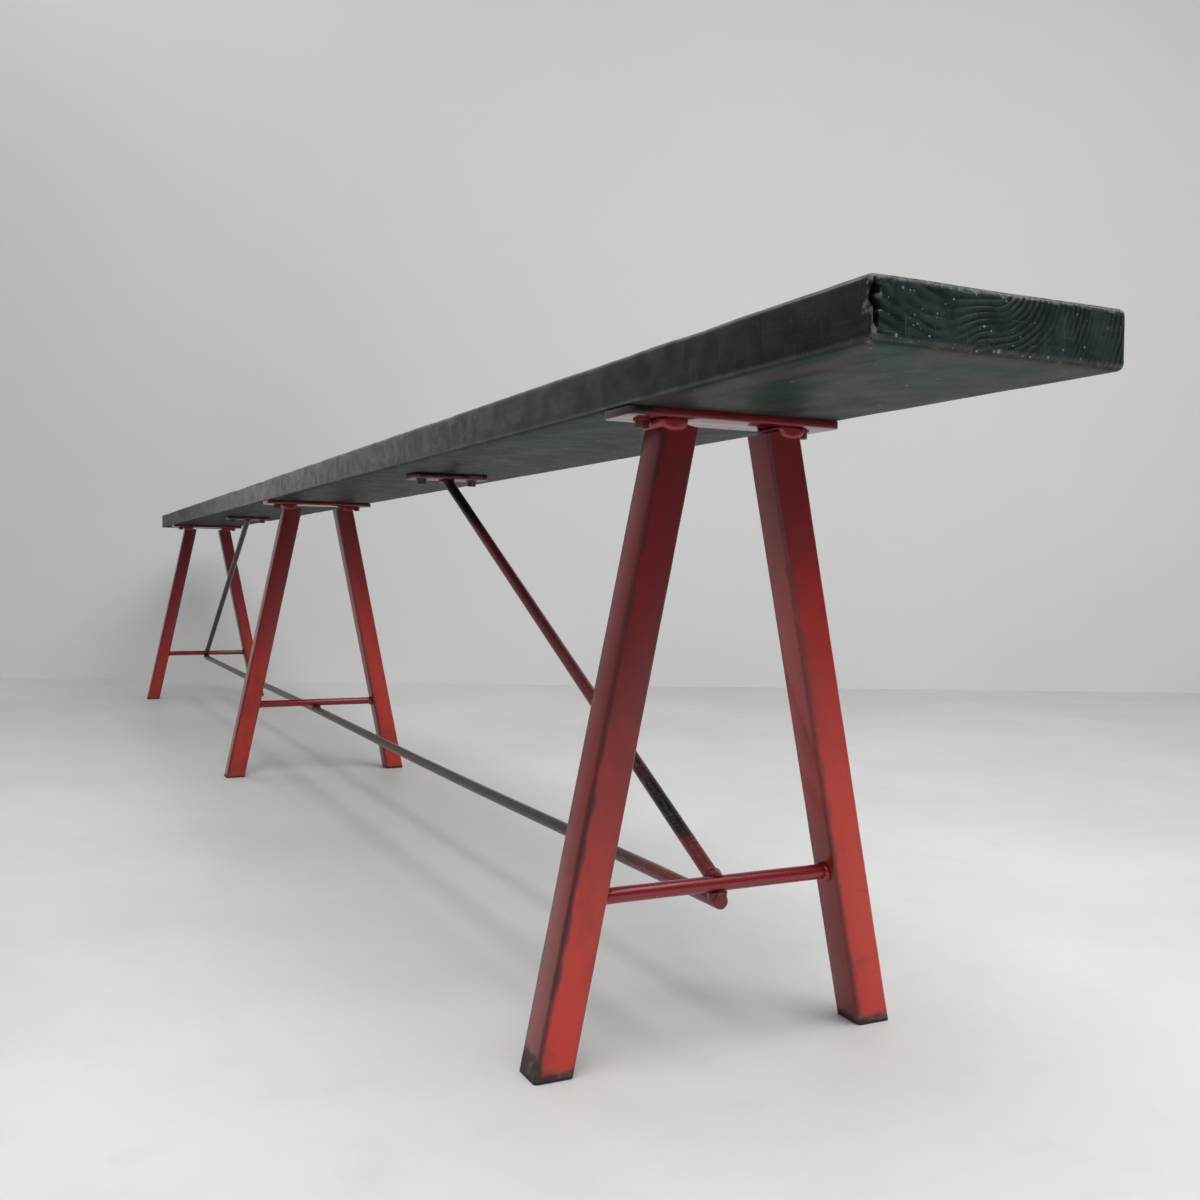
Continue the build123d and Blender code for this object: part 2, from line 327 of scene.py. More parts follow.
def painted_timber():
    """Old near-black green paint on a plank: worn arrises, raised grain, scuffs and pale paint specks, with a
    painted highlight along the near end's top arris and painted shade inside the split.
    """
    material, s, shader, point = new_material("worn dark green paint on timber",
                                              Specular_IOR_Level=0.1, Coat_Roughness=0.2)
    facing = s.split(s.node("ShaderNodeNewGeometry").outputs["Normal"])
    along = s.split(point)["X"]
    streaks = group(s, GRAIN, point, "Streaks", Top=PLANK_TOP)
    rings = group(s, GRAIN, point, "Rings", Top=PLANK_TOP)
    blotches = s.noise(s.stretch(point, (5, 22, 22)), 1.0, 5.0, 0.62, 0.8)
    fine = s.noise(s.stretch(point, (26, 170, 170)), 1.0, 4.0, 0.6)
    far_age = s.remap(along, 0.1, -1.1)
    # The ends: green paint, darker in the rings' valleys
    patchy = s.noise(point, 70.0, 3.0, 0.6)
    end_green = s.mix(s.remap(patchy, 0.35, 0.65), shade((28, 41, 39)), shade((45, 60, 56)))
    olive = s.remap(s.split(point)["Y"], 0.035, 0.075)
    end_green = s.mix(s.times(olive, 0.6), end_green, shade((52, 62, 46)))
    ring_share = s.times(rings, s.remap(s.noise(point, 48.0, 4.0, 0.6), 0.37, 0.62, 0.08, 0.86))
    end_colour = s.mix(ring_share, end_green, shade((10, 16, 17)))
    # The underside: thin green over brown-grey bare wood, in long streaks
    patches = s.noise(s.stretch(point, (7, 14, 14)), 1.0, 6.0, 0.68, 1.8)
    thin = s.remap(s.plus(s.times(streaks, 0.25), s.times(patches, 0.75)), 0.43, 0.58)
    under_colour = s.mix(thin, shade((14, 46, 36)), shade((56, 54, 48)))
    under_colour = s.mix(s.remap(streaks, 0.52, 0.7), under_colour, shade((14, 22, 19)))
    # The long sides and the top: blackened paint with a little purple-grey bloom
    side_colour = s.mix(s.remap(blotches, 0.38, 0.66), shade((17, 16, 19)), shade((35, 32, 38)))
    old_side = s.mix(s.remap(blotches, 0.42, 0.58), shade((32, 33, 34)), shade((76, 78, 76)))
    side_colour = s.mix(s.times(far_age, 0.85), side_colour, old_side)
    side_colour = s.mix(s.times(s.remap(fine, 0.5, 0.78), 0.25), side_colour, shade((66, 66, 68)))
    top_colour = s.mix(s.remap(streaks, 0.35, 0.7), shade((18, 30, 28)), shade((36, 48, 43)))
    is_end = s.remap(s.math("ABSOLUTE", facing["X"]), 0.6, 0.85)
    is_under = s.remap(s.times(facing["Z"], -1.0), 0.55, 0.85)
    is_top = s.remap(facing["Z"], 0.55, 0.85)
    colour = s.mix(is_end, side_colour, end_colour)
    colour = s.mix(is_under, colour, under_colour)
    colour = s.mix(is_top, colour, top_colour)
    # Wear and marks, and a painted highlight along the near end's top arris
    worn = s.attribute("arris_wear_and_highlight")
    ragged = s.noise(point, 190.0, 4.0, 0.65)
    wear_and_highlight_mask = s.remap(s.plus(worn, s.times(s.minus(ragged, 0.5), 1.6)), 0.5, 0.85)
    # The pale colour is worn paint, and along the near end's top arris a painted highlight
    colour = s.mix(s.times(wear_and_highlight_mask, 0.7), colour, shade((112, 122, 116)))
    marks = group(s, SCRATCHES, point, Scale=1.0, Amount=0.4)
    colour = s.mix(s.times(marks, 0.3), colour, shade((90, 92, 86)))
    spots = group(s, SPECKS, point, Scale=260.0, Amount=0.04, Size=0.3)
    end_spots = group(s, SPECKS, point, Scale=460.0, Amount=0.16, Size=0.36)
    spots = s.larger(spots, s.times(end_spots, is_end))
    colour = s.mix(s.times(spots, 0.7), colour, shade((140, 156, 148)))
    # Painted shade: the inside of the split is made near-black
    split_shade_mask = s.attribute("split")
    colour = s.mix(split_shade_mask, colour, shade((4, 4, 5)))
    s.feed(shader["Base Color"], colour)
    rough = s.plus(0.24, s.times(s.noise(point, 45.0, 4.0), 0.26))
    rough = s.plus(rough, s.times(wear_and_highlight_mask, 0.1))
    rough = s.plus(rough, s.times(is_under, 0.14))
    rough = s.plus(rough, s.times(far_age, 0.12))
    s.feed(shader["Roughness"], s.plus(rough, s.times(split_shade_mask, 0.5)))
    painted = s.inverse(s.larger(is_under, s.larger(wear_and_highlight_mask, split_shade_mask)))
    painted = s.times(painted, s.inverse(s.times(far_age, 0.85)))
    s.feed(shader["Coat Weight"], s.times(painted, s.remap(patchy, 0.3, 0.7, 0.35, 0.8)))
    lumpy = s.minus(s.noise(point, 130.0, 4.0, 0.6), 0.5)
    ring_height = s.times(s.plus(s.times(ring_share, -0.9), s.times(lumpy, 3.0)), is_end)
    dents = s.noise(s.stretch(point, (5, 26, 26)), 1.0, 2.0, 0.5, 0.5)
    height = s.plus(ring_height, s.times(streaks, 0.5))
    height = s.plus(height, s.times(dents, s.plus(0.8, s.times(far_age, 3.6))))
    height = s.plus(height, s.times(fine, 0.25))
    s.feed(shader["Normal"], s.bump(height, 0.6, 0.0008))
    return material


def red_enamel(name, low=(204, 50, 32), high=(116, 13, 26), gloss=0.24, grime=0.35, tube=False, foot=0.0,
               foot_side=0.0, dark_left_end=False, crimson_shade_heights=(0.03, 0.33), corner_dirt=0.4,
               dust=(92, 40, 44)):
    """Hand-brushed red enamel on steel: darker crimson up high as painted shade under the plank, dark
    corners, grime, chips, and dirty feet.
    """
    material, s, shader, point = new_material(name, Coat_Roughness=0.12)
    height = s.split(point)["Z"]
    facing = s.split(s.node("ShaderNodeNewGeometry").outputs["Normal"])
    faces_left = s.larger(s.times(facing["Y"], -1.0), 0.0)
    tone = s.noise(point, 16.0, 4.0, 0.6, 0.4)
    # Painted shade: the red turns darker crimson higher up, where the plank shades the steel
    painted_shade_up_high = s.remap(s.plus(height, s.times(s.minus(tone, 0.5), 0.16)), *crimson_shade_heights)
    colour = s.mix(painted_shade_up_high, shade(low), shade(high))
    cloud = s.remap(s.noise(point, 30.0, 5.0, 0.65, 0.4), 0.5, 0.72)
    colour = s.mix(s.times(cloud, grime), colour, shade((70, 22, 22)))
    coat_lost = group(s, SPECKS, point, Scale=120.0, Amount=0.05, Size=0.12)
    colour = s.mix(coat_lost, colour, shade((34, 20, 20)))
    marks = group(s, SCRATCHES, point, Scale=0.8, Amount=0.15)
    colour = s.mix(s.times(marks, 0.3), colour, shade((80, 50, 46)))
    if tube:
        # Painted shade: faces turned to the left darken towards the bottom; the dust colour is this painted
        # shade
        left_face_shade = s.times(faces_left, s.remap(height, 0.30, 0.05))
        colour = s.mix(s.times(left_face_shade, 0.75), colour, shade(dust))
        outer_corner = s.remap(s.attribute("tube_deep"), 4 * MM, -4 * MM, 0.2, 1.0)
        stain = group(s, CORNER_WEAR, point, Width=2.8 * MM, Wander=1.8 * MM, Softness=1.4 * MM)
        stain = s.times(s.times(stain, outer_corner), min(1.0, corner_dirt * 1.1))
        colour = s.mix(stain, colour, shade((84, 24, 28)))
        corners = group(s, CORNER_WEAR, point, Width=0.9 * MM, Wander=1.6 * MM, Softness=0.8 * MM)
        corners = s.times(s.times(corners, outer_corner), corner_dirt)
        colour = s.mix(corners, colour, shade((68, 23, 24)))
        coat_lost = s.larger(coat_lost, s.times(corners, 0.7))
    if dark_left_end:
        side = s.split(point)["Y"]
        swept = s.inverse(s.remap(s.plus(side, s.times(tone, 20 * MM)), -54 * MM, -46 * MM))
        swept = s.times(swept, s.remap(facing["Z"], -0.9, -0.5))
        colour = s.mix(s.times(swept, 0.9), colour, shade((16, 24, 22)))
    if foot:
        ragged = s.times(s.minus(s.noise(point, 110.0, 4.0, 0.6), 0.5), foot * 1.4)
        outer = s.times(faces_left, foot_side)
        level = s.minus(s.plus(height, ragged), outer)
        dirty = s.inverse(s.remap(level, foot * 0.5, foot * 1.6))
        bare = s.mix(s.remap(s.noise(point, 130.0, 4.0), 0.4, 0.8), shade((42, 34, 34)), shade((112, 98, 96)))
        colour = s.mix(s.times(dirty, 0.94), colour, bare)
        coat_lost = s.larger(coat_lost, dirty)
    s.feed(shader["Base Color"], colour)
    rough = s.plus(gloss, s.times(s.noise(point, 60.0, 3.0), 0.16))
    s.feed(shader["Roughness"], s.plus(rough, s.times(coat_lost, 0.3)))
    s.feed(shader["Coat Weight"], s.times(s.inverse(coat_lost), 0.3))
    brush = s.noise(s.stretch(point, (110, 110, 16)), 1.0, 3.0, 0.5)
    relief = s.minus(s.times(brush, 0.6), s.times(coat_lost, 0.8))
    s.feed(shader["Normal"], s.bump(relief, 0.22, 0.0005))
    return material


def handled_bar(name, dark, red, red_share, bright=(112, 96, 92), metal_share=0.2):
    """Round bar whose red paint has darkened and rubbed through to brown steel; the red share given can add
    painted shadow.
    """
    material, s, shader, point = new_material(name)
    drift = s.noise(point, 22.0, 4.0, 0.6, 0.3)
    share = s.plus(s.times(s.minus(drift, 0.5), 0.8), red_share(s, s.split(point)))
    share = s.remap(share, 0.2, 0.8)
    colour = s.mix(share, shade(dark), shade(red))
    fine = s.noise(point, 150.0, 4.0, 0.6)
    colour = s.mix(s.times(s.remap(fine, 0.45, 0.8), 0.3), colour, shade(bright))
    marks = group(s, SCRATCHES, point, Scale=1.0, Amount=0.6)
    colour = s.mix(s.times(marks, 0.55), colour, shade((150, 132, 126)))
    s.feed(shader["Base Color"], colour)
    s.feed(shader["Metallic"], s.times(s.inverse(share), metal_share))
    s.feed(shader["Roughness"], s.plus(0.2, s.times(fine, 0.24)))
    s.feed(shader["Normal"], s.bump(fine, 0.25, 0.0003))
    return material


def screw_steel(name, paint, share):
    """Zinc screw heads, dulled, with trestle paint left on them."""
    material, s, shader, point = new_material(name)
    tone = s.noise(point, 300.0, 4.0, 0.6)
    steel = s.mix(tone, shade((60, 54, 52)), shade((112, 104, 98)))
    painted = s.remap(s.plus(s.noise(point, 240.0, 3.0), share - 0.5), 0.42, 0.58)
    s.feed(shader["Base Color"], s.mix(painted, steel, shade(paint)))
    s.feed(shader["Metallic"], s.times(s.inverse(painted), 0.7))
    s.feed(shader["Roughness"], s.plus(0.35, s.times(tone, 0.25)))
    s.feed(shader["Normal"], s.bump(tone, 0.25, 0.0002))
    return material


def foot_plastic():
    """Black plastic worn grey where it rubs the floor."""
    material, s, shader, point = new_material("scuffed black plug plastic")
    height = s.split(point)["Z"]
    tone = s.noise(point, 220.0, 4.0, 0.65)
    rubbed = s.inverse(s.remap(s.plus(height, s.times(tone, 1 * MM)), 0.0, 1.2 * MM))
    colour = s.mix(tone, shade((22, 19, 19)), shade((58, 51, 49)))
    s.feed(shader["Base Color"], s.mix(s.times(rubbed, 0.35), colour, shade((74, 70, 68))))
    s.feed(shader["Roughness"], s.plus(0.5, s.times(tone, 0.3)))
    s.feed(shader["Normal"], s.bump(tone, 0.3, 0.0003))
    return material


def pale_floor():
    """Plain painted floor with faint cloudiness."""
    material, s, shader, point = new_material("pale floor", 0.55)
    cloud = s.noise(point, 1.3, 5.0, 0.6, 0.3)
    fine = s.noise(point, 18.0, 4.0, 0.6)
    colour = s.mix(s.remap(cloud, 0.35, 0.65), shade((206, 206, 204)), shade((218, 218, 216)))
    s.feed(shader["Base Color"], s.mix(s.times(s.remap(fine, 0.5, 0.8), 0.2), colour, shade((190, 190, 188))))
    s.feed(shader["Roughness"], s.plus(0.38, s.times(cloud, 0.25)))
    s.feed(shader["Normal"], s.bump(s.noise(point, 60.0, 5.0, 0.6), 0.12, 0.001))
    return material


def pale_wall():
    """Plain backdrop that shows only from its front."""
    material, s, shader, point = new_material("pale backdrop", 0.8)
    cloud = s.noise(point, 1.1, 4.0, 0.6)
    s.feed(shader["Base Color"], s.mix(cloud, shade((232, 232, 230)), shade((240, 240, 238))))
    output = s.tree.nodes["Material Output"]
    behind = s.node("ShaderNodeNewGeometry").outputs["Backfacing"]
    clear = s.node("ShaderNodeBsdfTransparent").outputs[0]
    front = s.tree.nodes["Principled BSDF"].outputs[0]
    both = s.node("ShaderNodeMixShader", {0: behind, 1: front, 2: clear}).outputs[0]
    s.feed(output.inputs["Surface"], both)
    return material


# ---------------------------------------------------------------- plank

PLANK_LOW, PLANK_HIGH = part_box("plank")
PLANK_TOP = PLANK_HIGH.z
PLANK_ARRIS = 3.8 * MM
SPLIT_DEPTH = 7 * MM
SPLIT_CORNER_REACH = 34 * MM


def ring_shift(y, z):
    """How far a growth ring strays from a true arc."""
    return (1.0 * wander((0, y, z), 36, 3.1) + 0.6 * wander((0, y, z), 140, 8.0)) * MM


def ring_depth(y, z):
    """0 on a growth ring's hard line, 1 in the soft wood between."""
    across = y - HEART_ACROSS
    below = z - PLANK_TOP - HEART_ABOVE_TOP
    if across < 0:
        below *= 1 - LEFT_RING_SPREAD * fade(-across, 0, LEFT_SPREAD_REACH)
        across *= LEFT_RING_FLATTENING
    radius = math.hypot(across, below) + ring_shift(y, z)
    return 0.5 - 0.5 * math.sin(radius * 2 * math.pi / RING_SPACING)


def new_plank_blank():
    """The planed board: rounded arrises, cut into short steps, finest at its ends and at the split corner."""
    bm = new_block(PLANK_HIGH - PLANK_LOW, (PLANK_LOW + PLANK_HIGH) / 2)
    round_edges(bm, bm.edges[:], PLANK_ARRIS, 3)
    for axis, shortest, cuts in ((0, 1.0, 380), (1, 0.1, 17), (2, 0.015, 3)):
        along = [e for e in bm.edges if abs((e.verts[0].co - e.verts[1].co)[axis]) > shortest]
        bmesh.ops.subdivide_edges(bm, edges=along, cuts=cuts, use_grid_fill=True)
    bm.normal_update()
    fine = [f for f in bm.faces if abs(f.normal.x) > 0.99
            or f.normal.y < -0.99 and f.calc_center_median().x > PLANK_HIGH.x - SPLIT_CORNER_REACH]
    fine_edges = list(dict.fromkeys(e for f in fine for e in f.edges))
    bmesh.ops.subdivide_edges(bm, edges=fine_edges, cuts=7, use_grid_fill=True)
    bm.normal_update()
    return bm


def near_left_split(x, y, z):
    """How deep a point lies in the split down the near left corner, and how bruised the wood beside it is."""
    near_end = PLANK_HIGH.x
    wobble = (wander((0, 0, z), 150, 2.0) + 0.5 * wander((0, 0, z), 420, 6.0)) * 0.9 * MM
    line = PLANK_LOW.y + 3.6 * MM + wobble
    down = (PLANK_HIGH.z - z) / (PLANK_HIGH.z - PLANK_LOW.z)
    width = 1.3 * MM * fade(down, 0.04, 0.3) * (1 - fade(down, 0.35, 0.92)) + 0.25 * MM
    inside = 1 - fade(abs(y - line), width * 0.6, width * 1.3)
    inside *= fade(down, 0.1, 0.17) * (1 - fade(down, 0.84, 0.95))
    inside *= fade(x, near_end - 9 * MM, near_end - 2 * MM)
    beside = 1 - fade(abs(y - line) - width, 0.5 * MM, 6 * MM)
    beside *= fade(x, near_end - 12 * MM, near_end - 3 * MM) * (1 - inside)
    return inside, beside * (0.62 + 0.5 * wander((x, y, z), 260, 4.0))


def make_plank(material):
    """One board with rounded, knocked arrises, wandering faces, raised end grain and a split corner."""
    bm = new_plank_blank()
    wear, split, shift = (bm.verts.layers.float.new(name) for name in ("arris_wear_and_highlight", "split", "ring_shift"))
    far_end, near_end = PLANK_LOW.x, PLANK_HIGH.x
    for v in bm.verts:
        x, y, z = v.co
        normal = v.normal.copy()
        to_sides = min(y - PLANK_LOW.y, PLANK_HIGH.y - y)
        to_faces = min(z - PLANK_LOW.z, PLANK_HIGH.z - z)
        to_ends = min(x - far_end, near_end - x)
        to_arris = sorted((to_sides, to_faces, to_ends))[1]
        on_arris = 1 - fade(to_arris, 2.5 * MM, 6 * MM)
        age = fade(-x, -0.6, 1.3)
        # Slow hollows in the faces, deeper on the sides and towards the far end, faint underneath
        slow = 0.5 + 0.5 * wander((x * 0.25, y, z), 26, 1.0)
        hollow = (0.25 + 3.4 * age * abs(normal.y)) * slow * MM
        if normal.z < -0.5:
            hollow *= 0.15
        # Knocks along the arrises
        knock = max(0.0, wander((x * 0.7, y * 0.4, z * 0.4), 30, 5.0) - 0.15)
        knock += 0.4 * max(0.0, wander((x, y, z), 90, 9.0) - 0.1)
        hollow += on_arris * knock * (0.7 + 5.0 * age) * MM
        move = -normal * hollow
        # Paint worn off the arrises, more towards the near end; along the near end's top edge the pale worn
        # colour is a painted highlight
        low_left = 1 - fade(z - PLANK_LOW.z, 2 * MM, 6 * MM) if y < 0 else 0.0
        at_near_end = 0.28 * fade(x, near_end - 20 * MM, near_end)
        v[wear] = on_arris * (0.1 + 0.5 * knock + 0.04 * low_left + at_near_end)
        # Painted highlight: a pale band along the near end's top arris, carried in the wear layer
        highlight_edge = fade(z, PLANK_TOP - 5 * MM, PLANK_TOP - 2 * MM)
        highlight_edge *= fade(x, near_end - 7 * MM, near_end - 3 * MM)
        v[wear] = max(v[wear], 0.74 * on_arris * highlight_edge)
        # End grain stands up in lines
        at_end = 1 - fade(to_ends, 0.2 * MM, 1.0 * MM)
        inside = fade(min(to_sides, to_faces), 2.5 * MM, 5 * MM)
        v[shift] = ring_shift(y, z)
        raised = 0.02 + 0.14 * fade(wander((0, y, z), 45, 12.0), -0.3, 0.4)
        move.x -= math.copysign(raised * MM * at_end * inside * ring_depth(y, z), x)
        in_split, bruised = near_left_split(x, y, z)
        if in_split > 0:
            move.x -= in_split * SPLIT_DEPTH
            # The split layer marks where the split's painted shade goes
            v[split] = min(1.0, in_split * 1.5)
        v[wear] = max(v[wear], bruised)
        v.co += move
        for axis in range(3):
            v.co[axis] = min(PLANK_HIGH[axis], max(PLANK_LOW[axis], v.co[axis]))
    plank = add_piece(bm, "worn_plank", material, smooth_angle=50)
    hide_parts("plank")


# ---------------------------------------------------------------- steel pieces

LEG_LEAN = math.atan2(80, 390)  # out over up
TUBE_WALL = 2 * MM
TUBE_CORNER = 2.5 * MM
PLUG_FLANGE = 2 * MM
PLUG_STEM = 13 * MM
BAR_RADIUS = 5 * MM
FLAT_BAR_CORNER = 5 * MM
BROKEN_EDGE = 0.5 * MM
SCREW_FLATS = 8 * MM
SCREW_HEAD = 4.5 * MM
SCREW_SHANK_RADIUS = 2.45 * MM
SCREW_TIP_RADIUS = 1.2 * MM
WASHER_THICKNESS = 1.2 * MM
WASHER_RADIUS = 5.5 * MM
SIDE_SIGN = {"left": -1, "right": 1}


def make_leg(side, trestle, material):
    """Square tube with rounded corners and slightly wavy walls, level at the foot and square at the top."""
    node = f"leg_{side}_{trestle}"
    low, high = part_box(node)
    sign = SIDE_SIGN[side]
    width = high.x - low.x
    foot = high.y if sign > 0 else -low.y
    axis_foot = foot - width / 2 / math.cos(LEG_LEAN)
    top_level = high.z - width / 2 * math.sin(LEG_LEAN)
    length = (top_level - low.z) / math.cos(LEG_LEAN)
    bm = new_block((width, width, length + width), (0, 0, (length - width) / 2))
    round_edges(bm, upright_edges(bm), TUBE_CORNER, 4)
    bmesh.ops.delete(bm, geom=[f for f in bm.faces if abs(f.normal.z) > 0.9], context="FACES_ONLY")
    bmesh.ops.subdivide_edges(bm, edges=upright_edges(bm), cuts=60)
    across, deep = (bm.verts.layers.float.new(name) for name in ("tube_across", "tube_deep"))
    for v in bm.verts:
        v[across], v[deep] = v.co.x, v.co.y
    lean = Matrix.Rotation(sign * LEG_LEAN, 4, "X")
    spot = Matrix.Translation(((low.x + high.x) / 2, sign * axis_foot, low.z))
    bm.normal_update()
    seed = low.x * 3 + sign
    for v in bm.verts:
        v.co -= v.normal * (0.1 + 0.1 * wander(v.co, 38, seed)) * MM
    bmesh.ops.transform(bm, matrix=spot @ lean, verts=bm.verts)
    cut_off(bm, low.z, -1, 1e-6)
    bmesh.ops.recalc_face_normals(bm, faces=bm.faces)
    bmesh.ops.solidify(bm, geom=bm.faces[:], thickness=TUBE_WALL)
    piece = add_piece(bm, f"tube_{side}_{trestle}", material, smooth_angle=35)
    stand_for(node)


def make_foot_plug(side, trestle, material):
    """Plug with a flange as big as the tube's end, its floor edge rubbed round."""
    node = f"foot_plug_{side}_{trestle}"
    low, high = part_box(f"leg_{side}_{trestle}")
    sign = SIDE_SIGN[side]
    width = high.x - low.x
    deep = width / math.cos(LEG_LEAN)
    slope = math.tan(LEG_LEAN) * PLUG_FLANGE
    outer = (high.y if sign > 0 else -low.y) + slope
    centre = Vector(((low.x + high.x) / 2, sign * (outer - deep / 2), PLUG_FLANGE / 2))
    bm = new_block((width - 0.2 * MM, deep - 0.2 * MM, PLUG_FLANGE))
    round_edges(bm, upright_edges(bm), TUBE_CORNER, 4)
    rim = [e for e in bm.edges if all(v.co.z < -PLUG_FLANGE / 4 for v in e.verts)]
    round_edges(bm, rim, BROKEN_EDGE, 2)
    for v in bm.verts:
        v.co.y -= sign * slope * (v.co.z / PLUG_FLANGE + 0.5)
    stem = new_block((width - 5 * MM, width - 5 * MM, PLUG_STEM),
                     (0, 0, PLUG_STEM / 2 + PLUG_FLANGE / 2 - 0.2 * MM))
    round_edges(stem, stem.edges[:], 0.8 * MM, 2)
    for v in stem.verts:
        v.co.y -= sign * math.tan(LEG_LEAN) * (v.co.z + PLUG_FLANGE / 2)
    join(bm, stem)
    bmesh.ops.translate(bm, vec=centre, verts=bm.verts)
    piece = add_piece(bm, f"plug_{side}_{trestle}", material, smooth_angle=40)
    stand_for(node)


def make_flat_bar(node, name, material):
    """Flat bar with sheared round corners and broken edges."""
    low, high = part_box(node)
    bm = new_block(high - low)
    round_edges(bm, upright_edges(bm), FLAT_BAR_CORNER, 7)
    round_edges(bm, level_edges(bm), BROKEN_EDGE, 2)
    bmesh.ops.translate(bm, vec=(low + high) / 2, verts=bm.verts)
    piece = add_piece(bm, name, material, smooth_angle=35)
    stand_for(node)


def make_screws(node, name, material, turns):
    """Two hexagon heads on pressed washers, each stopped at its own angle, with tapered shanks."""
    low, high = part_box(node)
    head_radius = SCREW_FLATS / 2 / math.cos(math.pi / 6)
    under_shank = SCREW_HEAD + WASHER_THICKNESS
    shank = high.z - low.z - under_shank
    bm = bmesh.new()
    for sign, turn in zip((-1, 1), turns):
        spot = Vector(((low.x + high.x) / 2, sign * (high.y - WASHER_RADIUS), low.z))
        for segments, radius, tip_radius, bottom, depth, edge in (
            (6, head_radius, head_radius, 0, SCREW_HEAD, 0.7 * MM),
            (28, WASHER_RADIUS, WASHER_RADIUS, SCREW_HEAD, WASHER_THICKNESS, 0.35 * MM),
            (16, SCREW_SHANK_RADIUS, SCREW_TIP_RADIUS, under_shank, shank, 0.3 * MM),
        ):
            part = bmesh.new()
            bmesh.ops.create_cone(part, cap_ends=True, cap_tris=False, segments=segments, radius1=radius,
                                  radius2=tip_radius, depth=depth)
            round_edges(part, [e for e in level_edges(part) if e.verts[0].co.z < 0], edge, 3)
            bmesh.ops.rotate(part, cent=(0, 0, 0), matrix=Matrix.Rotation(turn, 3, "Z"), verts=part.verts)
            bmesh.ops.translate(part, vec=spot + Vector((0, 0, bottom + depth / 2)), verts=part.verts)
            join(bm, part)
    piece = add_piece(bm, name, material, smooth_angle=32)
    stand_for(node)


def new_bar(start, end, radius, cuts, bend=None):
    """Round bar between two points, with faint waves, and bent sideways by bend(share of its length)."""
    start, end = Vector(start), Vector(end)
    length = (end - start).length
    bm = bmesh.new()
    bmesh.ops.create_cone(bm, cap_ends=True, cap_tris=False, segments=24, radius1=radius, radius2=radius,
                          depth=length)
    round_edges(bm, level_edges(bm), radius * 0.22, 3)
    sides = [e for e in upright_edges(bm) if e.calc_length() > length / 2]
    bmesh.ops.subdivide_edges(bm, edges=sides, cuts=cuts)
    bm.normal_update()
    for v in bm.verts:
        v.co -= v.normal * (0.06 + 0.06 * wander((v.co.x, v.co.y, v.co.z * 0.4), 120, length)) * MM
    turn = (end - start).to_track_quat("Z", "Y").to_matrix().to_4x4()
    bmesh.ops.transform(bm, matrix=Matrix.Translation((start + end) / 2) @ turn, verts=bm.verts)
    if bend:
        along = (end - start).normalized()
        for v in bm.verts:
            v.co += bend((v.co - start).dot(along) / length)
    return bm


def make_crossbar(trestle, material):
    """Round bar low down between a trestle's legs."""
    low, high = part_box(f"crossbar_{trestle}")
    x, z = (low.x + high.x) / 2, (low.z + high.z) / 2
    bm = new_bar((x, low.y, z), (x, high.y, z), BAR_RADIUS, 20)
    piece = add_piece(bm, f"round_crossbar_{trestle}", material, smooth_angle=40)
    stand_for(f"crossbar_{trestle}")


def make_brace(end, material):
    """Round bar from the crossbar to the brace plate, cut level under the plate."""
    bar_low, bar_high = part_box(f"crossbar_{end}")
    plate_low, plate_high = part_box(f"brace_plate_{end}")
    foot = (bar_low + bar_high) / 2
    head = Vector(((plate_low.x + plate_high.x) / 2, 0, plate_low.z))
    along = (head - foot).normalized()
    bm = new_bar(foot + along * 4 * MM, head + along * 14 * MM, BAR_RADIUS, 50)
    cut_off(bm, plate_low.z + 0.2 * MM, 1, 1e-7)
    bmesh.ops.holes_fill(bm, edges=[e for e in bm.edges if e.is_boundary])
    piece = add_piece(bm, f"round_brace_{end}", material, smooth_angle=40)
    stand_for(f"brace_{end}")


def make_stretcher(material):
    """Round bar a little bent between the trestles."""
    low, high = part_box("stretcher")
    z = (low.z + high.z) / 2

    def bend(share):
        between = math.sin(share * 2 * math.pi)
        return Vector((0, 1.3 * between * MM, -1.6 * between * between * MM))

    bm = new_bar((low.x, 0, z), (high.x, 0, z), BAR_RADIUS, 160, bend)
    piece = add_piece(bm, "round_stretcher", material, smooth_angle=40)
    stand_for("stretcher")


def leg_weld_shape(trestle):
    """Two rough blocks under the top plate, each round the outer part of a leg's end."""
    low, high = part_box(f"leg_left_{trestle}")
    width = high.x - low.x
    proud = 1.4 * MM
    outer_corner = -high.y + width * math.cos(LEG_LEAN)
    profile = ((3.2, 0), (2.8, 2.5), (0.8, 5.5), (-3, 7), (-9, 7), (-14, 6), (-16.5, 0))
    bm = bmesh.new()
    for sign in SIDE_SIGN.values():
        outline = [bm.verts.new((low.x - proud, sign * (outer_corner + out * MM), high.z - down * MM))
                   for out, down in profile]
        made = bmesh.ops.extrude_face_region(bm, geom=[bm.faces.new(outline)])
        moved = [v for v in made["geom"] if isinstance(v, bmesh.types.BMVert)]
        bmesh.ops.translate(bm, vec=(width + 2 * proud, 0, 0), verts=moved)
    bmesh.ops.recalc_face_normals(bm, faces=bm.faces)
    return bm


def node_shape(node):
    """A copy of a CAD node's shape, with its loose triangles joined."""
    bm = bmesh.new()
    bm.from_mesh(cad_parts[node].data)
    bmesh.ops.remove_doubles(bm, verts=bm.verts, dist=1e-6)
    return bm


